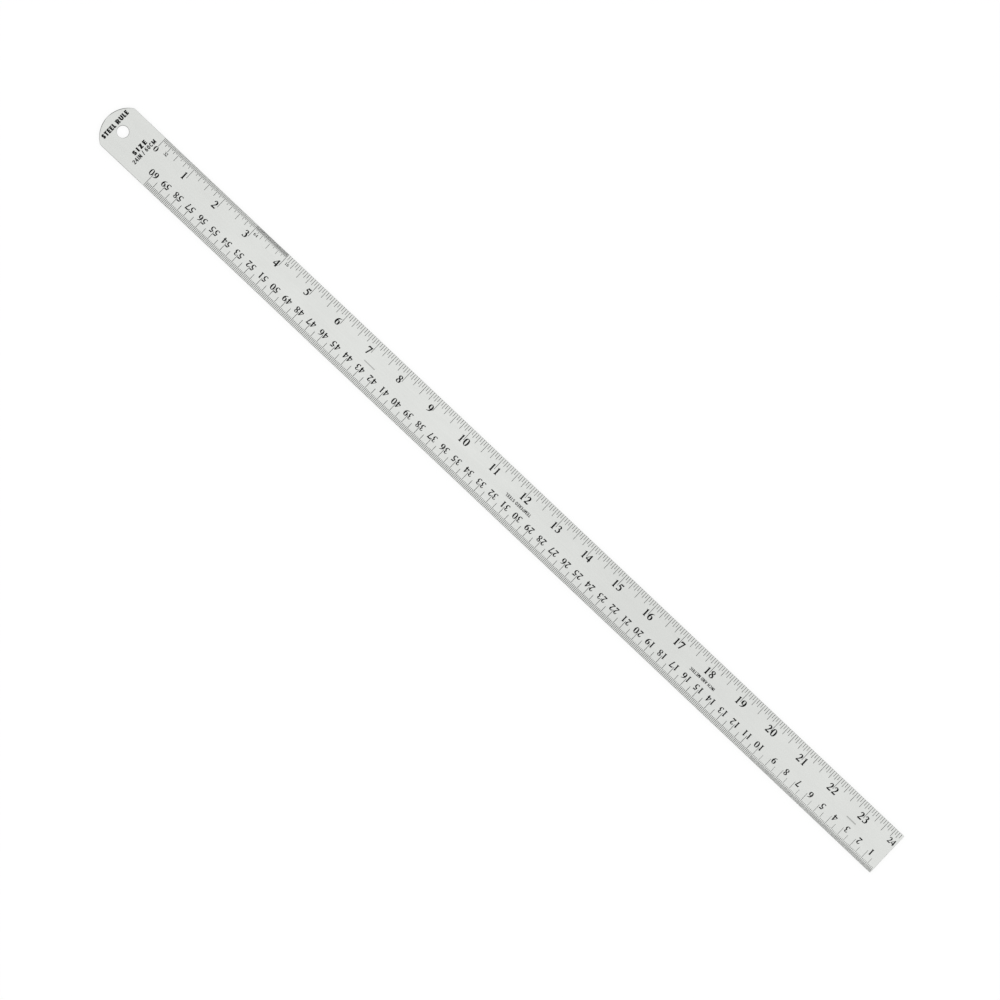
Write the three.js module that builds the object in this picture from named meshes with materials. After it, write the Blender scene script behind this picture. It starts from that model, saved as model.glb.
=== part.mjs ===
// Flexible steel ruler, 24 inch / 60 cm, with a round-nosed hanging end and a
// cork strip glued along its underside.
//
// Frame: millimetres, +Z up. The ruler lies flat on its cork.
//   +X  along the blade, from the round hanging end to the square measuring end
//   +Y  towards the inch edge (the centimetre edge is at -Y)
//   Z=0 underside of the cork, where the ruler rests
// The origin lies in that resting plane, under the middle of the blade.
//
// Pieces, from top to bottom: blade, adhesive film, cork strip. They lie face to face.

import * as THREE from 'three';

// ---- driving dimensions -------------------------------------------------

const LENGTH = 644;              // overall, tip of the nose to the square end
const WIDTH = 30;                // inch edge to centimetre edge
const STEEL_T = 1;               // blade thickness
const FILM_T = 0.1;              // double-sided adhesive film
const CORK_T = 1;                // cork sheet

const NOSE_R = 17.5;             // more than half the width
const NOSE_SEGMENTS = 96;

const HOLE_D = 7.4;              // hanging hole
const HOLE_FROM_TIP = 13;        // tip of the nose to the hole's centre
const HOLE_SEGMENTS = 96;

const CORK_W = 22;               // narrower than the blade, so both edges stand clear of the paper
const CORK_FROM_TIP = 26;        // clear of the hanging hole
const CORK_FROM_SQUARE_END = 4;

const FILM_INSET = 0.5;          // the film is smaller than the cork by this on every side

// ---- derived places -----------------------------------------------------

const TIP_X = -LENGTH / 2;
const END_X = LENGTH / 2;

const CORK_X0 = TIP_X + CORK_FROM_TIP;
const CORK_X1 = END_X - CORK_FROM_SQUARE_END;

const CORK_Z = 0;
const FILM_Z = CORK_Z + CORK_T;
const STEEL_Z = FILM_Z + FILM_T;

// ---- materials ----------------------------------------------------------

const brushedSteel = () => new THREE.MeshStandardMaterial({
  color: 0xdadcd9, roughness: 0.36, metalness: 1,
});
const clearFilm = () => new THREE.MeshStandardMaterial({
  color: 0xe7dfc6, roughness: 0.45, metalness: 0,
});
const corkSheet = () => new THREE.MeshStandardMaterial({
  color: 0xb98a55, roughness: 0.92, metalness: 0,
});

// ---- shapes -------------------------------------------------------------

// Points along an arc centred on the blade's centreline, both ends included.
// Angles are in radians from +X; a negative sweep runs clockwise seen from above.
function arcPoints({ centreX, radius, start, sweep, segments }) {
  return Array.from({ length: segments + 1 }, (_, i) => {
    const angle = start + (sweep * i) / segments;
    return new THREE.Vector2(centreX + radius * Math.cos(angle), radius * Math.sin(angle));
  });
}

// A strip with square corners at +X and one arc at -X. The arc's radius is more
// than half the width, so it meets each long edge at a slight corner, not a tangent.
function bladeOutline() {
  const halfAngle = Math.asin(WIDTH / 2 / NOSE_R);   // from -X to where the arc meets an edge
  const outline = new THREE.Shape([
    new THREE.Vector2(END_X, -WIDTH / 2),
    new THREE.Vector2(END_X, WIDTH / 2),
    ...arcPoints({
      centreX: TIP_X + NOSE_R,
      radius: NOSE_R,
      start: Math.PI - halfAngle,
      sweep: 2 * halfAngle,
      segments: NOSE_SEGMENTS,
    }),
  ]);
  const circle = arcPoints({
    centreX: TIP_X + HOLE_FROM_TIP,
    radius: HOLE_D / 2,
    start: 0,
    sweep: -2 * Math.PI,
    segments: HOLE_SEGMENTS,
  });
  circle.pop();   // the last point repeats the first
  outline.holes.push(new THREE.Path(circle));
  return outline;
}

// The cork's rectangle, drawn in by the inset on every side.
function corkOutline(inset) {
  const x0 = CORK_X0 + inset;
  const x1 = CORK_X1 - inset;
  const y = CORK_W / 2 - inset;
  return new THREE.Shape([
    new THREE.Vector2(x0, -y),
    new THREE.Vector2(x1, -y),
    new THREE.Vector2(x1, y),
    new THREE.Vector2(x0, y),
  ]);
}

// A flat piece whose underside is at z.
function plate({ name, outline, z, thickness, material }) {
  const geometry = new THREE.ExtrudeGeometry(outline, {
    depth: thickness, bevelEnabled: false, curveSegments: 1,
  });
  const mesh = new THREE.Mesh(geometry, material);
  mesh.name = name;
  mesh.position.z = z;
  return mesh;
}

// ---- pieces -------------------------------------------------------------

const blade = () => plate({
  name: 'blade',
  outline: bladeOutline(),
  z: STEEL_Z,
  thickness: STEEL_T,
  material: brushedSteel(),
});

const adhesiveFilm = () => plate({
  name: 'adhesive_film',
  outline: corkOutline(FILM_INSET),
  z: FILM_Z,
  thickness: FILM_T,
  material: clearFilm(),
});

const corkStrip = () => plate({
  name: 'cork_strip',
  outline: corkOutline(0),
  z: CORK_Z,
  thickness: CORK_T,
  material: corkSheet(),
});

const ruler = new THREE.Group();
ruler.add(blade(), adhesiveFilm(), corkStrip());

export default ruler;
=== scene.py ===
# A 24 inch / 60 cm steel rule with a strip of cork under it, lying flat with its face up (+Z).
# +X runs from the rounded hanging end to the square end, +Y is the inch edge and -Y the
# centimetre edge. Sizes are in millimetres, except in the materials and the scene (metres).
import math

import bpy
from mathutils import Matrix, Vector, noise
from mathutils.geometry import delaunay_2d_cdt


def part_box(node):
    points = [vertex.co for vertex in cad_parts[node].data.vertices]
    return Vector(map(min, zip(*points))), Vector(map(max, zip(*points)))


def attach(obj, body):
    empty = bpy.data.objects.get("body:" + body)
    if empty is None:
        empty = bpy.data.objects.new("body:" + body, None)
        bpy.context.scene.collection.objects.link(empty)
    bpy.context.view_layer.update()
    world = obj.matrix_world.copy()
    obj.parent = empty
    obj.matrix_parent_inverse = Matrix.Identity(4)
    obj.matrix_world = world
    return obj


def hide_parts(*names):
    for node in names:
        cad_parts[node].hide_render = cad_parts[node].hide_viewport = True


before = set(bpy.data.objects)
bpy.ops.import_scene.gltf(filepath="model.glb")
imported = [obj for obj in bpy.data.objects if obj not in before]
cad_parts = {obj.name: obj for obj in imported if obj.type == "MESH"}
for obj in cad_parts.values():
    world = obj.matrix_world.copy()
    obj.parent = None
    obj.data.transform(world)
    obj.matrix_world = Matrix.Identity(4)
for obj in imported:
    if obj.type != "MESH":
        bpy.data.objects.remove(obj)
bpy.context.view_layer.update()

# ---------------------------------------------------------------------------
# Driving dimensions
# ---------------------------------------------------------------------------
MM = 0.001
blade_low, blade_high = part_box("blade")
cork_low, cork_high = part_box("cork_strip")

TIP_X = blade_low.x / MM
END_X = blade_high.x / MM
HALF_W = blade_high.y / MM
Z_TOP = blade_high.z / MM
Z_UNDER = blade_low.z / MM

NOSE_R = 17.5
NOSE_X = TIP_X + NOSE_R
NOSE_HALF_ANGLE = math.asin(HALF_W / NOSE_R)
NOSE_STEPS = 120
HOLE_R = 3.7
HOLE_X = TIP_X + 13.0
HOLE_STEPS = 96
CORNER_R = 0.35           # the square end's corners are barely broken
CORNER_STEPS = 6
EDGE_R = 0.12             # rounding of every long edge
HOLE_EDGE_R = 0.30        # the hole is deburred a little more
ROUNDING_STEPS = 4
# the nose is rounded more than the long edges, unevenly:
# (degrees round the nose, times the long edges' rounding)
NOSE_EDGE = (
    (120.0, 1.0), (127.0, 1.5), (138.0, 3.2), (148.0, 4.1), (169.0, 4.1), (177.0, 2.0),
    (184.0, 2.0), (191.0, 3.9), (199.0, 3.9), (208.0, 3.3), (220.0, 2.3), (233.0, 1.8),
    (240.0, 1.0),
)
# the centimetre edge of the head, ahead of the scale:
# (distance from the tip, times the long edges' rounding)
HEAD_EDGE = (
    (9.2, 1.3), (10.6, 1.7), (12.5, 2.0), (20.0, 2.0), (30.0, 2.0), (40.0, 2.0),
    (41.3, 1.7), (42.4, 1.3), (43.2, 1.0),
)

INCH = 25.4
INCHES = 24
INCH_ZERO_X = END_X - INCHES * INCH
ETCH_DEPTH = 0.055
FILL_BELOW = 0.009        # the paint sits just under the steel's surface
ETCH_FLOOR_Z = Z_TOP - ETCH_DEPTH
FILL_TOP_Z = Z_TOP - FILL_BELOW


# ---------------------------------------------------------------------------
# Flat outlines
# ---------------------------------------------------------------------------
def around(loop):
    """Each item of a closed loop with the next one."""
    return zip(loop, loop[1:] + loop[:1])


def signed_area(loop):
    return 0.5 * sum(a[0] * b[1] - b[0] * a[1] for a, b in around(loop))


def cross(start, end, point):
    """Twice the area of the triangle start, end, point: positive when point is on the left."""
    return ((end[0] - start[0]) * (point[1] - start[1])
            - (end[1] - start[1]) * (point[0] - start[0]))


def hull(points):
    ordered = sorted({(round(x, 6), round(y, 6)) for x, y in points})

    def half(sequence):
        chain = []
        for point in sequence:
            while len(chain) >= 2 and cross(chain[-2], chain[-1], point) <= 1e-9:
                chain.pop()
            chain.append(point)
        return chain[:-1]

    return half(ordered) + half(reversed(ordered))


def nib(x, y, radius_x, radius_y, sides):
    angles = [2 * math.pi * k / sides for k in range(sides)]
    return [(x + radius_x * math.cos(a), y + radius_y * math.sin(a)) for a in angles]


def swept(path, sides):
    """Convex patches swept by an elliptical nib along (x, y, radius x, radius y) stations."""
    return [hull(nib(*a, sides) + nib(*b, sides)) for a, b in zip(path, path[1:])]


def spline(points, steps, closed):
    """Catmull-Rom through nib stations, so the nib's size is carried along the path."""
    def beyond(end, inner):
        return tuple(2 * a - b for a, b in zip(end, inner))

    if closed:
        stations = points[-1:] + points + points[:2]
    else:
        stations = [beyond(points[0], points[1]), *points, beyond(points[-1], points[-2])]
    path = []
    for four in zip(stations, stations[1:], stations[2:], stations[3:]):
        for step in range(steps):
            t = step / steps
            path.append(tuple(
                0.5 * (2 * b + (c - a) * t + (2 * a - 5 * b + 4 * c - d) * t * t
                       + (3 * b - a - 3 * c + d) * t ** 3)
                for a, b, c, d in zip(*four)
            ))
    path.append(path[0] if closed else points[-1])
    return path


def pen(points, steps=8, closed=False):
    return swept(spline(points, steps, closed), 18)


def triangulated(outlines):
    """Triangulates overlapping outlines together. Gives the points, the triangles, the input
    points behind each point and the outlines each triangle lies in."""
    flat, loops = [], []
    for shape in outlines:
        loop = list(range(len(flat), len(flat) + len(shape)))
        # a clockwise face would claim everything outside it
        loops.append(loop if signed_area(shape) > 0 else loop[::-1])
        flat.extend(Vector(point) for point in shape)
    points, _, triangles, originals, _, owners = delaunay_2d_cdt(flat, [], loops, 0, 1e-6, True)
    return points, triangles, originals, owners


def boundary_loops(faces, places):
    """Closed outlines round a patch of faces, outer ones counter-clockwise, holes clockwise."""
    directed = {edge for face in faces for edge in around(face)}
    onward = {}
    for start, end in directed:
        if (end, start) not in directed:
            onward.setdefault(start, []).append(end)
    for ends in onward.values():
        ends.sort()

    def turn(came, here, ahead):
        in_x, in_y = places[here][0] - places[came][0], places[here][1] - places[came][1]
        out_x, out_y = places[ahead][0] - places[here][0], places[ahead][1] - places[here][1]
        return math.atan2(in_x * out_y - in_y * out_x, in_x * out_x + in_y * out_y)

    loops = []
    for first in sorted(onward):
        while onward[first]:
            loop, here, came = [], first, None
            while True:
                options = onward[here]
                ahead = options[0]
                if came is not None and len(options) > 1:
                    # two outlines touch here: the sharpest turn keeps to the same one
                    ahead = max(options, key=lambda option: turn(came, here, option))
                options.remove(ahead)
                loop.append(here)
                came, here = here, ahead
                if here == first:
                    break
            loops.append([places[i] for i in loop])
    return loops


def thin_out(loop, tolerance):
    """Drops points within tolerance of the line they sit on (Douglas-Peucker, closed)."""
    if len(loop) < 8:
        return loop
    first_x, first_y = loop[0]
    far = max(range(len(loop)),
              key=lambda i: (loop[i][0] - first_x) ** 2 + (loop[i][1] - first_y) ** 2)

    def keep(chain):
        start, end = chain[0], chain[-1]
        length = math.hypot(end[0] - start[0], end[1] - start[1]) or 1e-12
        worst, at = 0.0, None
        for i in range(1, len(chain) - 1):
            distance = abs(cross(start, end, chain[i])) / length
            if distance > worst:
                worst, at = distance, i
        if at is None or worst <= tolerance:
            return [start]
        return keep(chain[:at + 1]) + keep(chain[at:])

    kept = keep(loop[:far + 1]) + keep(loop[far:] + loop[:1])
    return kept if len(kept) >= 3 else loop


def united(patches, tolerance):
    """The outlines of overlapping patches merged into one shape."""
    patches = [patch[::-1] if signed_area(patch) < 0 else patch for patch in patches]
    points, triangles, _, owners = triangulated(patches)
    inside = [list(triangle) for triangle, own in zip(triangles, owners) if own]
    loops = boundary_loops(inside, [(point.x, point.y) for point in points])
    loops = [thin_out(loop, tolerance) for loop in loops]
    return [loop for loop in loops if abs(signed_area(loop)) > 1e-5]


# ---------------------------------------------------------------------------
# Numerals: bold, with serifs, 1 unit tall on a baseline at 0, in cells 0.6 wide.
# Pen strokes are (x, y, nib radius x, nib radius y); the other patches are (x, y) polygons.
# ---------------------------------------------------------------------------
CELL = 0.60


def digit_patches():
    six = [
        (0.545, 0.952, 0.034, 0.028), (0.415, 0.898, 0.05, 0.044), (0.24, 0.8, 0.082, 0.062),
        (0.13, 0.61, 0.12, 0.052), (0.086, 0.34, 0.116, 0.054), (0.155, 0.11, 0.09, 0.055),
        (0.305, 0.038, 0.05, 0.036), (0.46, 0.102, 0.086, 0.05), (0.524, 0.325, 0.118, 0.056),
        (0.458, 0.525, 0.108, 0.062), (0.335, 0.585, 0.058, 0.036), (0.222, 0.55, 0.046, 0.034),
        (0.176, 0.48, 0.046, 0.036),
    ]
    return {
        "0": pen([
            (0.3, 0.955, 0.066, 0.036), (0.145, 0.872, 0.088, 0.045), (0.073, 0.64, 0.112, 0.045),
            (0.073, 0.36, 0.112, 0.045), (0.145, 0.125, 0.088, 0.045), (0.3, 0.036, 0.06, 0.036),
            (0.455, 0.125, 0.088, 0.045), (0.527, 0.36, 0.112, 0.045),
            (0.527, 0.64, 0.112, 0.045), (0.455, 0.872, 0.088, 0.045),
        ], steps=7, closed=True),
        "1": [
            [(0.2, 0.0), (0.406, 0.0), (0.406, 0.992), (0.362, 0.992), (0.2, 0.92)],
            [(0.085, 0.862), (0.097, 0.828), (0.2, 0.858), (0.35, 0.93), (0.362, 0.992)],
            [(0.105, 0.0), (0.5, 0.0), (0.5, 0.044), (0.105, 0.044)],
            [(0.105, 0.044), (0.158, 0.066), (0.2, 0.15), (0.22, 0.03)],
            [(0.5, 0.044), (0.448, 0.066), (0.406, 0.15), (0.386, 0.03)],
        ],
        "2": pen([
            (0.064, 0.755, 0.052, 0.05), (0.135, 0.872, 0.074, 0.046), (0.262, 0.942, 0.075, 0.046),
            (0.4, 0.868, 0.112, 0.066), (0.452, 0.7, 0.11, 0.052), (0.378, 0.5, 0.088, 0.056),
            (0.22, 0.29, 0.056, 0.04), (0.08, 0.11, 0.07, 0.042),
        ]) + [
            [(0.005, 0.0), (0.556, 0.0), (0.566, 0.18), (0.005, 0.18)],
            [(0.48, 0.15), (0.52, 0.0), (0.556, 0.0), (0.622, 0.202), (0.578, 0.21),
             (0.548, 0.186)],
        ],
        "3": pen([
            (0.078, 0.79, 0.052, 0.045), (0.148, 0.9, 0.062, 0.042), (0.278, 0.945, 0.062, 0.044),
            (0.395, 0.872, 0.108, 0.062), (0.428, 0.73, 0.088, 0.052), (0.34, 0.59, 0.062, 0.046),
            (0.225, 0.528, 0.042, 0.034),
        ]) + pen([
            (0.235, 0.532, 0.038, 0.034), (0.372, 0.522, 0.092, 0.066),
            (0.452, 0.435, 0.114, 0.072), (0.484, 0.285, 0.108, 0.06), (0.412, 0.11, 0.076, 0.05),
            (0.276, 0.048, 0.056, 0.042), (0.16, 0.066, 0.062, 0.06), (0.088, 0.096, 0.088, 0.088),
        ]),
        "4": [
            [(0.32, 0.0), (0.522, 0.0), (0.522, 0.992), (0.405, 0.992), (0.32, 0.89)],
            [(-0.05, 0.215), (0.602, 0.215), (0.602, 0.37), (-0.05, 0.37)],
            [(0.036, 0.345), (0.42, 0.89), (0.405, 0.992), (-0.05, 0.37), (-0.05, 0.29)],
        ],
        "5": [
            [(0.18, 0.8), (0.54, 0.806), (0.52, 0.984), (0.185, 0.978)],
            [(0.48, 0.978), (0.5, 0.806), (0.59, 0.81), (0.614, 1.014), (0.592, 1.022),
             (0.545, 0.988)],
            [(0.182, 0.978), (0.048, 0.6), (0.2, 0.625), (0.25, 0.978)],
        ] + pen([
            (0.118, 0.592, 0.062, 0.062), (0.235, 0.604, 0.066, 0.088), (0.4, 0.548, 0.11, 0.086),
            (0.475, 0.43, 0.11, 0.062), (0.49, 0.285, 0.104, 0.058), (0.42, 0.108, 0.072, 0.052),
            (0.27, 0.054, 0.062, 0.044), (0.145, 0.062, 0.06, 0.062), (0.085, 0.095, 0.098, 0.08),
        ]),
        "6": pen(six),
        "7": [
            [(0.055, 0.795), (0.551, 0.8), (0.604, 0.93), (0.604, 0.986), (0.055, 0.986)],
            [(-0.058, 0.736), (0.054, 0.718), (0.086, 0.78), (0.16, 0.8), (0.115, 0.986),
             (0.055, 0.986)],
            [(0.425, 0.85), (0.14, -0.018), (0.326, -0.018), (0.61, 0.935), (0.575, 0.96)],
        ],
        "8": pen([
            (0.305, 0.948, 0.066, 0.04), (0.18, 0.898, 0.084, 0.046), (0.108, 0.765, 0.1, 0.054),
            (0.2, 0.6, 0.102, 0.078), (0.36, 0.49, 0.108, 0.082), (0.46, 0.375, 0.118, 0.068),
            (0.507, 0.22, 0.1, 0.06), (0.44, 0.092, 0.08, 0.048), (0.296, 0.036, 0.05, 0.036),
            (0.155, 0.088, 0.088, 0.046), (0.088, 0.245, 0.092, 0.048), (0.14, 0.38, 0.072, 0.044),
            (0.275, 0.5, 0.046, 0.036), (0.428, 0.605, 0.058, 0.042),
            (0.492, 0.765, 0.084, 0.048), (0.43, 0.898, 0.082, 0.048),
        ], steps=7, closed=True),
        # the six turned half round
        "9": pen([(CELL - x, 0.975 - y, radius_x, radius_y) for x, y, radius_x, radius_y in six]),
    }


DIGITS = {digit: united(patches, 0.0016) for digit, patches in digit_patches().items()}


# ---------------------------------------------------------------------------
# Lettering: plain sans capitals and figures, 1 unit tall
# ---------------------------------------------------------------------------
def arc(x, y, radius_x, radius_y, start, end, steps):
    """Points on an ellipse between two angles in degrees."""
    angles = [math.radians(start + (end - start) * i / steps) for i in range(steps + 1)]
    return [(x + radius_x * math.cos(a), y + radius_y * math.sin(a)) for a in angles]


def rect(x0, y0, x1, y1):
    return [[(x0, y0), (x1, y0), (x1, y1), (x0, y1)]]


def slope(x0, y0, x1, y1, half):
    """A slanting stroke from (x0, y0) to (x1, y1), half its level width either side."""
    return [[(x0 - half, y0), (x0 + half, y0), (x1 + half, y1), (x1 - half, y1)]]


def letter_patches(half_stem, half_beam):
    """Character -> (patches, width), from half the upright and half the level stroke."""
    stem, beam = 2 * half_stem, 2 * half_beam
    left = rect(0, 0, stem, 1)

    def right(width):
        return rect(width - stem, 0, width, 1)

    def foot(width):
        return rect(0, 0, width, beam)

    def head(width):
        return rect(0, 1 - beam, width, 1)

    def sweep(points):
        return swept([(x, y, half_stem * 0.98, half_beam) for x, y in points], 14)

    def bend(x, y, width, height, start, end, steps):
        """A curved stroke whose outer edge has the given half width and half height."""
        return sweep(arc(x, y, width - half_stem, height - half_beam, start, end, steps))

    letters = {}
    wide = 0.52
    middle = rect(0, 0.51 - half_beam, wide - 0.05, 0.51 + half_beam)
    letters["E"] = left + foot(wide) + head(wide) + middle, wide
    letters["L"] = left + foot(0.48), 0.48
    letters["T"] = rect(0.29 - half_stem, 0, 0.29 + half_stem, 1) + head(0.58), 0.58
    letters["I"] = left, stem

    wide = 0.62
    middle = rect(0, 0.5 - half_beam, wide, 0.5 + half_beam)
    letters["H"] = left + right(wide) + middle, wide
    half = 1.15 * half_stem
    letters["N"] = left + right(wide) + slope(wide - half, 0, half, 1, half), wide
    letters["C"] = bend(wide / 2 + 0.01, 0.5, wide / 2 + 0.01, 0.5, 48, 312, 20), wide
    letters["D"] = (left + rect(half_stem, 0, 0.28, beam) + rect(half_stem, 1 - beam, 0.28, 1)
                    + bend(0.27, 0.5, wide - 0.27, 0.5, -90, 90, 14)), wide

    wide = 0.80
    half = 1.1 * half_stem
    letters["M"] = (left + right(wide) + slope(wide / 2, 0.04, half, 1, half)
                    + slope(wide / 2, 0.04, wide - half, 1, half)), wide
    wide = 0.56
    half = 1.25 * half_stem
    diagonal = slope(half, half_beam, wide - half, 1 - half_beam, half)
    letters["Z"] = foot(wide) + head(wide) + diagonal, wide
    wide = 0.68
    half = 1.05 * half_stem
    letters["A"] = (slope(half, 0, wide / 2, 1, half) + slope(wide - half, 0, wide / 2, 1, half)
                    + rect(0.22 * wide, 0.24, 0.78 * wide, 0.24 + 1.8 * half_beam)), wide

    wide = max(0.60, 4 * half_stem + 0.13)        # the heaviest strokes still leave an opening
    letters["U"] = (rect(0, 0.36, stem, 1) + rect(wide - stem, 0.36, wide, 1)
                    + bend(wide / 2, 0.37, wide / 2, 0.37, 180, 360, 14)), wide
    wide = max(0.57, 4 * half_stem + 0.12)
    bowl = (rect(half_stem, 1 - beam, 0.29, 1)
            + rect(half_stem, 0.44 - half_beam, 0.29, 0.44 + half_beam)
            + sweep(arc(0.28, 0.72 - half_beam / 2, wide - 0.28 - half_stem,
                        0.28 - half_beam / 2, -90, 90, 12)))
    letters["P"] = left + bowl, wide
    leg = slope(wide - 0.9 * half_stem, 0, 0.24 + half_stem, 0.46, 1.15 * half_stem)
    letters["R"] = left + bowl + leg, wide + 0.03

    wide = 0.57
    radii = wide / 2 - half_stem, 0.26 - half_beam / 2
    upper = arc(wide / 2, 0.74 - half_beam / 2, *radii, 28, 250, 14)
    lower = arc(wide / 2, 0.26 + half_beam / 2, *radii, 70, -152, 14)
    letters["S"] = sweep(upper + lower), wide
    letters["/"] = slope(half_stem, -0.04, 0.34, 1.04, 0.85 * half_stem), 0.34 + half_stem

    wide = 0.55
    letters["0"] = bend(wide / 2, 0.5, wide / 2, 0.5, 0, 360, 24), wide
    shoulder = arc(wide / 2, 0.72, wide / 2 - half_stem, 0.28 - half_beam, 165, -25, 12)
    tail = [(wide / 2 + 0.02, 0.42), (half_stem * 1.1, half_beam * 1.6)]
    letters["2"] = sweep(shoulder + tail) + foot(wide), wide
    slant = [(0.0, 0.22 + beam), (0.0, 0.30), (1.3 * half_stem, 0.28),
             (wide - 0.10 - half_stem, 0.90), (wide - 0.10 - half_stem, 1.0),
             (wide - 0.12 - stem, 1.0)]
    letters["4"] = (rect(wide - 0.10 - stem, 0, wide - 0.10, 1)
                    + rect(0, 0.22, wide + 0.02, 0.22 + beam) + [slant]), wide + 0.02
    back = arc(wide / 2 + 0.03, 0.45, wide / 2 + 0.03 - half_stem, 0.55 - half_beam, 62, 180, 12)
    letters["6"] = (bend(wide / 2, 0.33, wide / 2, 0.33, 0, 360, 22)
                    + sweep(back + [(half_stem, 0.33)])), wide
    return letters


LETTER_SPACE = 0.30


def lettering(text, half_stem, half_beam, gap):
    """A line of capitals with its lower left at 0, 0. Gives (outlines, width)."""
    letters = letter_patches(half_stem, half_beam)
    loops, x = [], 0.0
    for character in text:
        if character == " ":
            x += LETTER_SPACE
            continue
        patches, wide = letters[character]
        for loop in united(patches, 0.002):
            loops.append([(u + x, v) for u, v in loop])
        x += wide + gap
    return loops, x - gap


# ---------------------------------------------------------------------------
# Every etched mark, as (piece, outline)
# ---------------------------------------------------------------------------
marks = []


def place(piece, loops, to_face):
    for loop in loops:
        marks.append((piece, [to_face(u, v) for u, v in loop]))


def bar(piece, x0, x1, y0, y1):
    marks.append((piece, rect(x0, y0, x1, y1)[0]))


def place_digit(piece, digit, x, y, size, wide=1.0):
    """A numeral with its baseline at y. A negative size turns it upside down."""
    place(piece, DIGITS[digit], lambda u, v: (x + u * size * wide, y + v * size))


EDGE_START = HALF_W - EDGE_R - 0.03      # the marks run out to the rounding of the edge


def inch_graduations():
    # (first inch, last inch, step in 64ths, line width, width at whole inches,
    #  {largest power of two dividing the 64ths: length})
    zones = (
        (0, 3, 2, 0.275, 0.275, {64: 9.0, 32: 6.9, 16: 5.5, 8: 4.0, 4: 2.9, 2: 2.5}),
        (3, 4, 1, 0.225, 0.27, {64: 9.0, 32: 7.1, 16: 5.4, 8: 4.0, 4: 3.1, 2: 2.8, 1: 2.1}),
        (4, INCHES, 4, 0.28, 0.28, {64: 9.0, 32: 7.1, 16: 5.7, 8: 4.2, 4: 3.1}),
    )
    zero_length = 6.75
    # the 24 line is the end face itself
    for first, last, step, width, inch_width, lengths in zones:
        for k in range(first * 64, last * 64, step):
            x = INCH_ZERO_X + k * INCH / 64
            length = lengths[math.gcd(k, 64)] if k else zero_length
            half = (width if k % 64 else inch_width) / 2
            bar("inch_graduations", x - half, x + half, HALF_W - length, EDGE_START)


def cm_graduations():
    """Zero is the square end: millimetres, and half millimetres over the first 10 cm."""
    for k in range(1, 1201):      # half millimetres
        if k % 2:
            if k > 200:
                continue
            length, width = 2.15, 0.175
        else:
            length = 8.9 if k % 20 == 0 else 7.1 if k % 10 == 0 else 3.55
            width = 0.30 if k > 200 else 0.20 if k % 20 == 10 else 0.235
        x = END_X - k / 2
        bar("cm_graduations", x - width / 2, x + width / 2, -EDGE_START, -HALF_W + length)


def numeral(piece, number, x, baseline, size, side, single_gap, pair_gaps):
    """A number at the line x: one digit before it, or the tens and units either side of it.
    side is 1 for the inch scale and -1 for the upside-down centimetre scale."""
    size *= side
    cell = CELL * size
    text = str(number)
    if number < 10:
        place_digit(piece, text, x - side * single_gap - cell, baseline, size)
    else:
        tens, units = pair_gaps
        place_digit(piece, text[0], x - side * tens - cell, baseline, size)
        place_digit(piece, text[1], x + side * units, baseline, size)


def inch_numerals():
    piece = "inch_numerals"
    for n in range(1, INCHES):
        gaps = (0.33, 0.53) if n >= 20 else (0.25, 0.60) if 14 <= n <= 18 else (0.05, 0.85)
        numeral(piece, n, INCH_ZERO_X + n * INCH, HALF_W - 11.15, size=4.95, side=1,
                single_gap=0.57, pair_gaps=gaps)
    zero_size, zero_width = 3.5, 2.4
    place_digit(piece, "0", INCH_ZERO_X - 1.15, HALF_W - 10.5, zero_size,
                zero_width / (CELL * zero_size))
    for digit, from_end in (("2", 5.90), ("4", 3.26)):
        place_digit(piece, digit, END_X - from_end, HALF_W - 9.3, 3.84)


def cm_numerals():
    for n in range(1, 61):
        gaps = (-0.05, 0.81) if n < 20 else (0.28, 0.47) if n <= 50 else (0.42, 0.41)
        numeral("cm_numerals", n, END_X - 10 * n, -HALF_W + 11.45, size=4.15, side=-1,
                single_gap=0.92, pair_gaps=gaps)


def denominators():
    """Small figures under the inch scale, where each kind of division starts."""
    wide = 0.98
    # (text, inch, x past that inch, baseline below the edge, length, height)
    for text, inch, past, below, length, height in (
        ("32", 0, 5.30, 8.10, 2.6, 2.2),
        ("64", 3, 1.5, 6.15, 2.75, 1.95),
        ("16", 4, 1.95, 6.15, 2.5, 1.90),
    ):
        x = INCH_ZERO_X + inch * INCH + past
        pitch = length - CELL * height * wide
        for i, digit in enumerate(text):
            place_digit("denominators", digit, x + i * pitch, HALF_W - below, height, wide)


def fitted(piece, text, half_stem, half_beam, length, height, to_face, gap=0.13):
    """Sets a line of capitals to a given length and height."""
    loops, width = lettering(text, half_stem, half_beam, gap)
    loops = [[(u * length / width, v * height) for u, v in loop] for loop in loops]
    place(piece, loops, to_face)


def head_lettering():
    """Lines across the hanging end, read towards the inch edge with their tops to the tip."""
    # (text, half stem, half beam, length, height, baseline from the tip, start y, gap)
    for text, half_stem, half_beam, length, height, from_tip, start_y, gap in (
        ("STEEL RULE", 0.150, 0.128, 21.7, 3.15, 8.15, -10.9, 0.11),
        ("SIZE", 0.142, 0.118, 10.9, 3.05, 28.35, -5.5, 0.26),
        ("24IN / 60CM", 0.102, 0.090, 18.8, 2.75, 31.95, -9.3, 0.13),
    ):
        fitted("head_lettering", text, half_stem, half_beam, length, height,
               lambda u, v: (TIP_X + from_tip - v, start_y + u), gap)


def face_lettering():
    """Small lines on the middle of the face, the same way up as the centimetre scale."""
    # (text, half stem, half beam, length, start from the square end)
    for text, half_stem, half_beam, length, from_end in (
        ("TEMPERED STEEL", 0.094, 0.082, 20.1, 294.8),
        ("INCH AND METRIC", 0.099, 0.086, 19.8, 143.1),
    ):
        fitted("face_lettering", text, half_stem, half_beam, length, 2.0,
               lambda u, v: (END_X - from_end - u, 1.3 - v))


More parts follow.
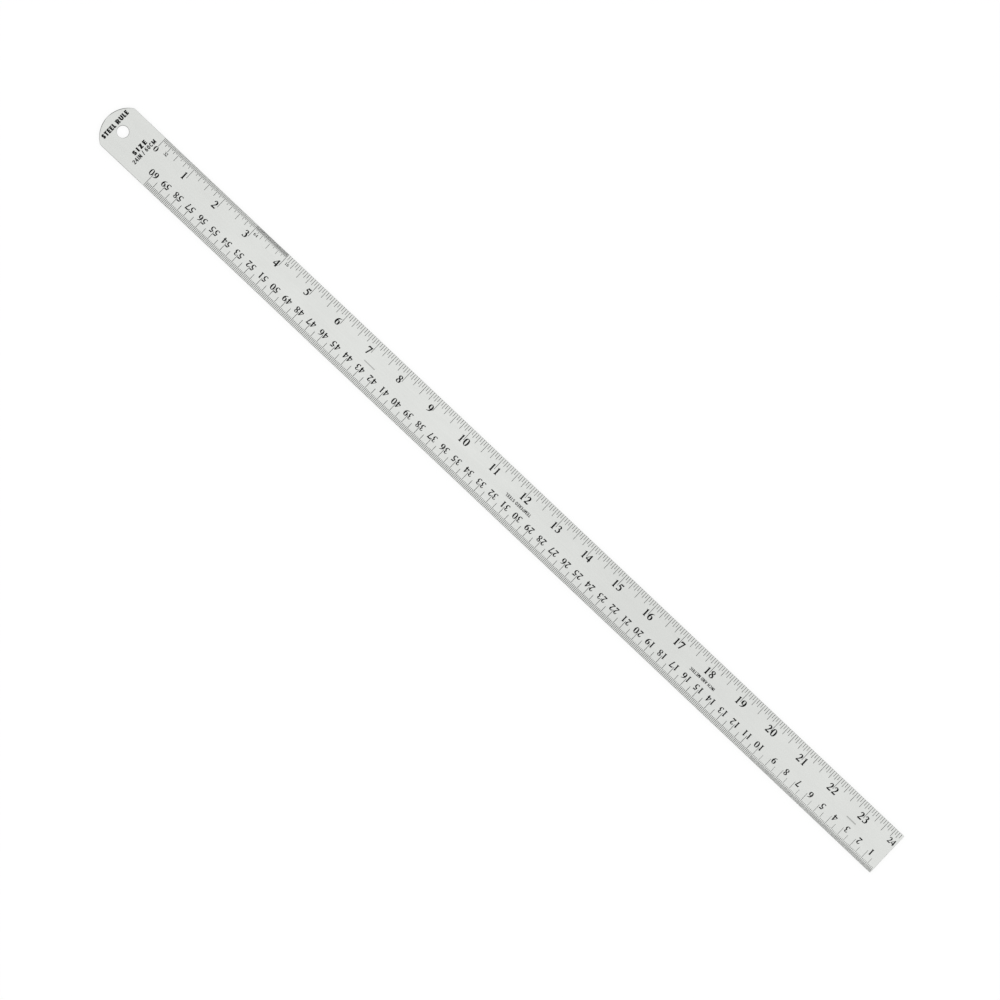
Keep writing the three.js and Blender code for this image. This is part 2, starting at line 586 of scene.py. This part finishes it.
def index_lines():
    """Two short lines along the middle of the face."""
    bar("index_lines", END_X - 431.7, END_X - 423.1, -0.37, 0.37)
    bar("index_lines", END_X - 33.4, END_X - 26.0, -0.30, 0.50)


inch_graduations()
cm_graduations()
inch_numerals()
cm_numerals()
denominators()
head_lettering()
face_lettering()
index_lines()


# ---------------------------------------------------------------------------
# The blade
# ---------------------------------------------------------------------------
def nose_softness(i):
    """How much rounder the edge is at a point of the nose than on the long edges."""
    half = math.degrees(NOSE_HALF_ANGLE)
    angle = 180.0 - half + 2 * half * i / NOSE_STEPS
    if i in (0, NOSE_STEPS):
        return 1.0
    for (angle0, soft0), (angle1, soft1) in zip(NOSE_EDGE, NOSE_EDGE[1:]):
        if angle0 <= angle <= angle1:
            t = (angle - angle0) / (angle1 - angle0)
            return soft0 + (soft1 - soft0) * t * t * (3 - 2 * t)
    return 1.0


def hole_softness(k):
    """The hole is deburred least towards the centimetre edge."""
    near = max(0.0, math.cos(2 * math.pi * k / HOLE_STEPS - math.radians(262)))
    return 1.0 - 0.65 * near ** 1.2


NOSE_SOFTNESS = [nose_softness(i) for i in range(NOSE_STEPS + 1)]
OUTLINE_SOFTNESS = ([1.0] * (2 * (CORNER_STEPS + 1)) + NOSE_SOFTNESS
                    + [soft for _, soft in HEAD_EDGE])
HOLE_SOFTNESS = [hole_softness(k) for k in range(HOLE_STEPS)]


def outline(inset):
    """The blade's outline, counter-clockwise, moved in by inset, always as many points."""
    half_width = HALF_W - inset
    radius = max(CORNER_R - inset, 0.01)
    points = []
    for y, start in ((-HALF_W + CORNER_R, -90), (HALF_W - CORNER_R, 0)):
        points += arc(END_X - CORNER_R, y, radius, radius, start, start + 90, CORNER_STEPS)
    for i, soft in enumerate(NOSE_SOFTNESS):
        angle = math.pi - NOSE_HALF_ANGLE + 2 * NOSE_HALF_ANGLE * i / NOSE_STEPS
        radius = NOSE_R - inset * soft
        y = radius * math.sin(angle)
        points.append((NOSE_X + radius * math.cos(angle), min(max(y, -half_width), half_width)))
    for x, soft in HEAD_EDGE:
        points.append((TIP_X + x, -HALF_W + inset * soft))
    return points


def hole(inset):
    points = []
    for k, soft in enumerate(HOLE_SOFTNESS):
        angle = 2 * math.pi * k / HOLE_STEPS
        radius = HOLE_R + inset * soft
        points.append((HOLE_X + radius * math.cos(angle), radius * math.sin(angle)))
    return points


def rounded(radius):
    """(inset, z) from the top face's edge, round and down the wall, to the under face's edge."""
    profile = []
    for i in range(ROUNDING_STEPS + 1):
        angle = math.pi / 2 * (1 - i / ROUNDING_STEPS)
        profile.append((radius * (1 - math.cos(angle)), Z_TOP - radius * (1 - math.sin(angle))))
    for i in range(ROUNDING_STEPS + 1):
        angle = math.pi / 2 * i / ROUNDING_STEPS
        profile.append((radius * (1 - math.cos(angle)), Z_UNDER + radius * (1 - math.sin(angle))))
    return profile


class Surface:
    """A mesh being built over flat points, sharing one vertex per point and height."""

    def __init__(self, points):
        self.points = points
        self.known = {}
        self.verts, self.faces, self.slots = [], [], []

    def add(self, x, y, z):
        self.verts.append((x, y, z))
        return len(self.verts) - 1

    def at(self, i, z):
        if (i, z) not in self.known:
            self.known[i, z] = self.add(self.points[i].x, self.points[i].y, z)
        return self.known[i, z]

    def face(self, corners, slot=0):
        self.faces.append(corners)
        self.slots.append(slot)

    def level(self, indices, z, slot=0):
        self.face([self.at(i, z) for i in indices], slot)

    def wall(self, a, b, high, low, slot=0):
        self.face([self.at(b, high), self.at(a, high), self.at(a, low), self.at(b, low)], slot)


BROAD, WALL, ETCHED = 0, 1, 2         # the blade's material slots


def pieces_of(owners):
    """For each triangle: the etched piece it is in, "" for bare steel, None for off the blade.
    Outline 0 is the blade, 1 the hole, and the marks follow."""
    senses = [1 if signed_area(shape) > 0 else -1 for _, shape in marks]
    pieces = []
    for own in map(set, owners):
        inside = [i - 2 for i in own if i > 1]
        if 0 not in own or 1 in own:
            pieces.append(None)
        elif sum(senses[i] for i in inside) > 0:
            pieces.append(marks[min(i for i in inside if senses[i] > 0)][0])
        else:
            pieces.append("")
    return pieces


def skin(blade, ring, points_at, profile, softness, outward):
    """Side walls from a ring of the top face down the profile. Gives the under face's ring."""
    for inset, z in profile[1:]:
        lower = []
        for (x, y), soft in zip(points_at(inset), softness):
            if z > (Z_UNDER + Z_TOP) / 2:
                soft_z = Z_TOP - (Z_TOP - z) * soft
            else:
                soft_z = Z_UNDER + (z - Z_UNDER) * soft
            lower.append(blade.add(x, y, soft_z))
        for i in range(len(lower)):
            j = (i + 1) % len(lower)
            quad = [ring[i], lower[i], lower[j], ring[j]]
            blade.face(quad if outward else quad[::-1], WALL)
        ring = lower
    return ring


def build_blade():
    """Gives the blade, and the paint in its pockets by piece name."""
    edge, bore = rounded(EDGE_R), rounded(HOLE_EDGE_R)
    rim, eye = outline(edge[0][0]), hole(bore[0][0])

    # one triangulation of the top face with every mark in it
    points, triangles, originals, owners = triangulated(
        [rim, eye] + [shape for _, shape in marks])
    pieces = pieces_of(owners)
    piece_at = {side: piece for triangle, piece in zip(triangles, pieces) if piece is not None
                for side in around(triangle)}
    blade, fills = Surface(points), {}
    for triangle, piece in zip(triangles, pieces):
        if piece is None:
            continue
        if piece:
            blade.level(triangle, ETCH_FLOOR_Z, ETCHED)
            fill = fills.setdefault(piece, Surface(points))
            fill.level(triangle, FILL_TOP_Z)
            fill.level(reversed(triangle), ETCH_FLOOR_Z)
            for a, b in around(triangle):
                if not piece_at.get((b, a)):
                    fill.wall(a, b, FILL_TOP_Z, ETCH_FLOOR_Z)
        else:
            blade.level(triangle, Z_TOP, BROAD)
            for a, b in around(triangle):
                if piece_at.get((b, a)):
                    blade.wall(a, b, Z_TOP, ETCH_FLOOR_Z, ETCHED)

    # side walls, from the top face's own vertices
    where = {i: at for at, merged in enumerate(originals) for i in merged}
    top = [blade.at(where[i], Z_TOP) for i in range(len(rim) + len(eye))]
    outer = skin(blade, top[:len(rim)], outline, edge, OUTLINE_SOFTNESS, outward=True)
    inner = skin(blade, top[len(rim):], hole, bore, HOLE_SOFTNESS, outward=False)

    # under face
    _, triangles, originals, owners = triangulated(
        [[blade.verts[i][:2] for i in ring] for ring in (outer, inner)])
    under = outer + inner
    for triangle, own in zip(triangles, owners):
        if 0 in own and 1 not in own:
            blade.face([under[originals[i][0]] for i in reversed(triangle)], BROAD)
    return blade, fills


def mesh_object(name, verts, faces, *materials):
    mesh = bpy.data.meshes.new(name)
    mesh.from_pydata([(x * MM, y * MM, z * MM) for x, y, z in verts], [], faces)
    mesh.validate(verbose=False)
    mesh.update()
    obj = bpy.data.objects.new(name, mesh)
    bpy.context.scene.collection.objects.link(obj)
    for material in materials:
        mesh.materials.append(material)
    return obj


# ---------------------------------------------------------------------------
# Material helpers
# ---------------------------------------------------------------------------
def blank_tree(owner):
    owner.use_nodes = True
    owner.node_tree.nodes.clear()
    return owner.node_tree


def new_material(name):
    material = bpy.data.materials.new(name)
    return material, blank_tree(material)


def add_node(tree, kind, inputs, **settings):
    """A shader node. Each input is given a value, or the output socket that feeds it."""
    node = tree.nodes.new("ShaderNode" + kind)
    for key, value in settings.items():
        setattr(node, key, value)
    for key, value in inputs.items():
        if isinstance(value, bpy.types.NodeSocket):
            tree.links.new(value, node.inputs[key])
        else:
            node.inputs[key].default_value = value
    return node


def principled(tree, inputs):
    shader = add_node(tree, "BsdfPrincipled", inputs)
    add_node(tree, "OutputMaterial", {"Surface": shader.outputs["BSDF"]})


def scaled_coords(tree, scale):
    """Object coordinates in metres times scale, so a texture's detail has a real size."""
    coords = add_node(tree, "TexCoord", {}).outputs["Object"]
    return add_node(tree, "Mapping", {"Vector": coords, "Scale": scale}).outputs["Vector"]


def noise_tex(tree, scale, detail, roughness):
    return add_node(tree, "TexNoise", {
        "Scale": 1.0, "Detail": detail, "Roughness": roughness,
        "Vector": scaled_coords(tree, scale)}).outputs["Fac"]


def remap(tree, value, low, high, to_low, to_high):
    return add_node(tree, "MapRange", {
        "Value": value, "From Min": low, "From Max": high,
        "To Min": to_low, "To Max": to_high}).outputs["Result"]


def maths(tree, operation, a, b):
    return add_node(tree, "Math", {0: a, 1: b}, operation=operation).outputs[0]


def product(tree, first, *others):
    for other in others:
        first = maths(tree, "MULTIPLY", first, other)
    return first


def scaled_colour(tree, colour, factor):
    node = add_node(tree, "VectorMath", {0: colour, "Scale": factor}, operation="SCALE")
    return node.outputs["Vector"]


def separated(tree, vector):
    return add_node(tree, "SeparateXYZ", {0: vector}).outputs


def colour_ramp(tree, factor, stops, interpolation="LINEAR"):
    """stops are (position, (red, green, blue))."""
    node = add_node(tree, "ValToRGB", {"Fac": factor})
    ramp = node.color_ramp
    ramp.interpolation = interpolation
    while len(ramp.elements) < len(stops):
        ramp.elements.new(0.5)
    for element, (position, colour) in zip(ramp.elements, stops):
        element.position = position
        element.color = (*colour, 1)
    return node.outputs["Color"]


def bump(tree, height, strength, distance):
    return add_node(tree, "Bump", {
        "Height": height, "Strength": strength, "Distance": distance}).outputs["Normal"]


# ---------------------------------------------------------------------------
# Materials
# ---------------------------------------------------------------------------
STEEL = (0.7330, 0.7450, 0.7240)
# painted light: the steel is made brighter and darker along the blade, as the lighting fell on it:
# (fraction of the length, tone)
STEEL_PAINTED_LIGHT = ((0.00, 0.99), (0.25, 1.03), (0.45, 1.04), (0.67, 0.98), (1.00, 1.02))
DRIFT_SCALE = 1.1         # keeps the ramp's colours below 1


def steel_material(name, tone, roughness, drawn):
    """Satin stainless steel, with a fine grain along the length when it is drawn."""
    material, tree = new_material(name)
    # very fine lines along X, broader faint streaks, and soft patches
    fine = noise_tex(tree, (90.0, 9000.0, 9000.0), detail=3.0, roughness=0.6)
    streak = noise_tex(tree, (9.0, 620.0, 620.0), detail=3.0, roughness=0.55)
    cloud = noise_tex(tree, (55.0, 150.0, 150.0), detail=3.0, roughness=0.55)
    # painted light: a broad brightening and darkening over the whole length, from the lighting on
    # the blade, and a weaker random drift of tone between
    object_coords = add_node(tree, "TexCoord", {}).outputs["Object"]
    along = remap(tree, separated(tree, object_coords)["X"], TIP_X * MM, END_X * MM, 0.0, 1.0)
    stops = [(position, (painted_light_ramp / DRIFT_SCALE,) * 3) for position, painted_light_ramp in STEEL_PAINTED_LIGHT]
    painted_light_ramp = colour_ramp(tree, along, stops, "EASE")
    slow = noise_tex(tree, (22.0, 30.0, 30.0), detail=1.0, roughness=0.5)
    varied = product(
        tree,
        remap(tree, streak, 0.25, 0.75, 0.985, 1.015),
        remap(tree, cloud, 0.25, 0.75, 0.985, 1.015),
        remap(tree, fine, 0.25, 0.75, 0.95, 1.05),
        # painted light along the length
        product(tree, painted_light_ramp, DRIFT_SCALE),
        remap(tree, slow, 0.3, 0.7, 0.988, 1.012),
    )
    inputs = {
        "Metallic": 1.0,
        "Base Color": scaled_colour(tree, tuple(c * tone for c in STEEL), varied),
        "Roughness": remap(tree, fine, 0.25, 0.75, roughness - 0.05, roughness + 0.07),
    }
    if drawn:
        # the tangent runs across the grain, the same all along the blade
        tangent = add_node(tree, "Tangent", {}, direction_type="RADIAL", axis="X")
        inputs["Anisotropic"] = 0.55
        inputs["Tangent"] = tangent.outputs["Tangent"]
        inputs["Normal"] = bump(tree, fine, strength=0.16, distance=0.00001)
    principled(tree, inputs)
    return material


def fill_material(name, colour):
    """Matt paint wiped into the etched marks, slightly thin and uneven."""
    material, tree = new_material(name)
    grain = noise_tex(tree, (5200.0,) * 3, detail=3.0, roughness=0.6)
    wear = noise_tex(tree, (260.0,) * 3, detail=2.0, roughness=0.5)
    tone = product(tree, remap(tree, grain, 0.25, 0.75, 0.75, 1.3),
                   remap(tree, wear, 0.3, 0.7, 0.85, 1.2))
    principled(tree, {
        "Base Color": scaled_colour(tree, colour, tone),
        "Roughness": 0.68,
        "Specular IOR Level": 0.09,
        "Normal": bump(tree, grain, strength=0.25, distance=0.00002),
    })
    return material


def cork_material():
    """Pressed cork granules with dark joints and finer chips inside them."""
    material, tree = new_material("agglomerated_cork")
    granules_per_metre, chips_per_metre = 760.0, 2100.0
    coords = scaled_coords(tree, (1.0, 1.0, 1.0))
    warp = add_node(tree, "TexNoise", {"Scale": 900.0, "Vector": coords}).outputs["Color"]
    bent = add_node(tree, "VectorMath", {0: warp, 1: (0.0006,) * 3, 2: coords},
                    operation="MULTIPLY_ADD").outputs["Vector"]

    def cells(scale, output, **settings):
        inputs = {"Scale": scale, "Vector": bent}
        return add_node(tree, "TexVoronoi", inputs, **settings).outputs[output]

    granule = separated(tree, cells(granules_per_metre, "Color"))
    joint = cells(granules_per_metre, "Distance", feature="DISTANCE_TO_EDGE")
    chip = separated(tree, cells(chips_per_metre, "Color"))
    colour = colour_ramp(tree, granule["X"], [
        (0.0, (0.235, 0.120, 0.050)), (0.22, (0.420, 0.240, 0.110)),
        (0.55, (0.520, 0.315, 0.155)), (0.85, (0.630, 0.410, 0.215)),
        (1.0, (0.700, 0.480, 0.270)),
    ])
    fine = noise_tex(tree, (3800.0,) * 3, detail=4.0, roughness=0.65)
    tone = product(
        tree,
        remap(tree, fine, 0.3, 0.7, 0.76, 1.20),
        remap(tree, joint, 0.0, 0.09, 0.60, 1.0),
        remap(tree, chip["Y"], 0.0, 1.0, 0.80, 1.16),
        remap(tree, chip["Z"], 0.05, 0.12, 0.45, 1.0),      # a few chips are much darker
    )
    height = maths(tree, "ADD", product(tree, fine, 0.6),
                   remap(tree, joint, 0.0, 0.12, 0.0, 1.0))
    principled(tree, {
        "Base Color": scaled_colour(tree, colour, tone),
        "Roughness": 0.93,
        "Specular IOR Level": 0.2,
        "Normal": bump(tree, height, strength=0.7, distance=0.00008),
    })
    return material


def film_material():
    material, tree = new_material("adhesive_film_look")
    streak = noise_tex(tree, (120.0, 900.0, 900.0), detail=3.0, roughness=0.6)
    tone = remap(tree, streak, 0.3, 0.7, 0.90, 1.08)
    principled(tree, {
        "Base Color": scaled_colour(tree, (0.80, 0.70, 0.48), tone),
        "Roughness": remap(tree, streak, 0.3, 0.7, 0.35, 0.55),
    })
    return material


# ---------------------------------------------------------------------------
# Blade and paint
# ---------------------------------------------------------------------------
steel_face = steel_material("satin_steel_face", tone=1.0, roughness=0.34, drawn=True)
# painted shade: the side walls, edge roundings and the hole's bore take a darker copy of the face's
# steel, so they read as in shade
shaded_steel_edge = steel_material("painted_shade_steel_edge", tone=0.46, roughness=0.38, drawn=True)
steel_etch = steel_material("etched_steel", tone=0.80, roughness=0.55, drawn=False)
black_fill = fill_material("black_etch_fill", (0.0085, 0.0085, 0.0090))
shallow_etch = steel_material("shallow_etched_steel", tone=0.66, roughness=0.50, drawn=False)

surface, fills = build_blade()
blade = mesh_object("steel_blade", surface.verts, surface.faces,
                    steel_face, shaded_steel_edge, steel_etch)
for polygon, slot in zip(blade.data.polygons, surface.slots):
    polygon.material_index = slot
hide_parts("blade")
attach(blade, "root")

for name, fill in sorted(fills.items()):
    look = shallow_etch if name == "index_lines" else black_fill
    piece = mesh_object(name, fill.verts, fill.faces, look)
    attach(piece, "root")


# ---------------------------------------------------------------------------
# Cork strip and adhesive film
# ---------------------------------------------------------------------------
CORK_STEP = 0.55
CORK_CORNER = 0.07        # the resting face starts this far in from the cut sides
SIDE_POINTS = 5


def cork_depth(x, y, z):
    """How far the cork's surface is sunk at a place."""
    distances, _ = noise.voronoi(Vector((x * 0.55, y * 0.55, z * 0.55)))
    joint = max(0.0, 1.0 - (distances[1] - distances[0]) / 0.22)      # between granules
    pit = max(0.0, noise.noise(Vector((x * 0.9 + 7, y * 0.9, z * 0.9))) - 0.36) * 1.6
    soft = 0.5 + 0.5 * noise.noise(Vector((x * 0.35, y * 0.35, z * 0.35 + 3)))
    return 0.075 * joint + 0.20 * pit + 0.022 * soft


def build_cork():
    """Sheet cork cut to a strip: a granular resting face and crumbly cut sides."""
    x0, y0, z0 = (c / MM for c in cork_low)
    x1, y1, z1 = (c / MM for c in cork_high)
    x_steps = int((x1 - x0) / CORK_STEP)
    rest_width = y1 - y0 - 2 * CORK_CORNER
    y_steps = int(rest_width / CORK_STEP)
    # the section goes down the -Y side, across the resting face and up the +Y side
    side = (z1, z1 - 0.22, z1 - 0.45, z0 + 0.32, z0 + 0.10)
    section = [(y0, z) for z in side]
    section += [(y0 + CORK_CORNER + rest_width * i / y_steps, z0) for i in range(y_steps)]
    section += [(y1 - CORK_CORNER, z0)] + [(y1, z) for z in reversed(side)]
    count = len(section)

    verts, faces = [], []
    for i in range(x_steps + 1):
        x = x0 + (x1 - x0) * i / x_steps
        for k, (y, z) in enumerate(section):
            sunk_x = x
            depth = cork_depth(x, y, z)
            if k in (0, count - 1):
                depth *= 0.4
            if i in (0, x_steps):
                sunk_x += depth * (1 if i == 0 else -1)
                depth *= 0.5
            if k < SIDE_POINTS:
                y += depth
            elif k >= count - SIDE_POINTS:
                y -= depth
            else:
                z += depth
            verts.append((sunk_x, y, z))
    for i in range(x_steps):
        start, after = i * count, (i + 1) * count
        for k in range(count - 1):
            faces.append([start + k, start + k + 1, after + k + 1, after + k])
        faces.append([after - 1, start, after, after + count - 1])      # glued face
    faces.append(list(range(count - 1, -1, -1)))
    faces.append([x_steps * count + k for k in range(count)])
    return verts, faces


cork = mesh_object("cork_backing", *build_cork(), cork_material())
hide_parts("cork_strip")
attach(cork, "root")

film_look = film_material()
for material_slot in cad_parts["adhesive_film"].material_slots:
    material_slot.material = film_look

# ---------------------------------------------------------------------------
# Floor, light and camera, in metres
# ---------------------------------------------------------------------------
WHITE = (1, 1, 1, 1)
FLOOR_HALF = 14.0
FLOOR_Z = -0.00002        # just clear of the rule


def floor_material():
    """A pale floor that glows, and is clear when the camera sees it from underneath."""
    material, tree = new_material("pale_floor")
    diffuse = add_node(tree, "BsdfDiffuse", {"Color": (0.24, 0.24, 0.24, 1)})
    glow = add_node(tree, "Emission", {"Color": WHITE, "Strength": 0.80})
    lit = add_node(tree, "AddShader", {0: diffuse.outputs[0], 1: glow.outputs[0]})
    backfacing = add_node(tree, "NewGeometry", {}).outputs["Backfacing"]
    camera_ray = add_node(tree, "LightPath", {}).outputs["Is Camera Ray"]
    clear = add_node(tree, "BsdfTransparent", {})
    mix = add_node(tree, "MixShader", {
        "Fac": product(tree, backfacing, camera_ray), 1: lit.outputs[0], 2: clear.outputs[0]})
    add_node(tree, "OutputMaterial", {"Surface": mix.outputs[0]})
    return material


def build_floor():
    mesh = bpy.data.meshes.new("floor")
    corners = [(x * FLOOR_HALF, y * FLOOR_HALF, 0) for x, y in ((-1, -1), (1, -1), (1, 1), (-1, 1))]
    mesh.from_pydata(corners, [], [[0, 1, 2, 3]])
    floor = bpy.data.objects.new("floor", mesh)
    floor.location.z = FLOOR_Z
    bpy.context.scene.collection.objects.link(floor)
    mesh.materials.append(floor_material())


def build_world():
    """A soft dome that lights the rule, with plain white where the camera sees it."""
    world = bpy.data.worlds.new("soft_studio")
    bpy.context.scene.world = world
    tree = blank_tree(world)
    direction = add_node(tree, "TexCoord", {}).outputs["Generated"]
    # the low sky is darkest beyond the hanging end and brightest beyond the square end
    side = add_node(tree, "VectorMath", {0: direction, 1: (-0.82, -0.57, 0.0)},
                    operation="DOT_PRODUCT").outputs["Value"]
    low_sky = remap(tree, side, -1.0, 1.0, 0.62, 0.05)
    climb = colour_ramp(tree, separated(tree, direction)["Z"],
                        [(0.0, (0.0, 0.0, 0.0)), (0.85, (1.0, 1.0, 1.0))], "EASE")
    sky = add_node(tree, "Mix", {"Factor": climb, "A": low_sky, "B": 1.0}, data_type="FLOAT")
    dome = add_node(tree, "Background", {"Color": sky.outputs["Result"], "Strength": 1.0})
    seen = add_node(tree, "Background", {"Color": WHITE, "Strength": 1.0})
    camera_ray = add_node(tree, "LightPath", {}).outputs["Is Camera Ray"]
    mix = add_node(tree, "MixShader", {
        "Fac": camera_ray, 1: dome.outputs[0], 2: seen.outputs[0]})
    add_node(tree, "OutputWorld", {"Surface": mix.outputs[0]})


def build_camera():
    """Straight down with the rule across the frame; a long lens keeps perspective away."""
    roll = math.radians(43.4)
    view_width = 0.5999       # width of the view at the rule's face
    lens, sensor = 300.0, 36.0
    data = bpy.data.cameras.new("camera")
    data.sensor_width = sensor
    data.lens = lens
    data.clip_start = 0.1
    data.clip_end = 50.0
    camera = bpy.data.objects.new("camera", data)
    bpy.context.scene.collection.objects.link(camera)
    camera.location = (0.00716, -0.00504, Z_TOP * MM + view_width * lens / sensor)
    camera.rotation_euler = (0, 0, roll)
    bpy.context.scene.camera = camera


build_floor()
build_world()
build_camera()

view = bpy.context.scene.view_settings
view.view_transform = "Standard"
view.look = "None"
view.exposure = 0.0
view.gamma = 1.0
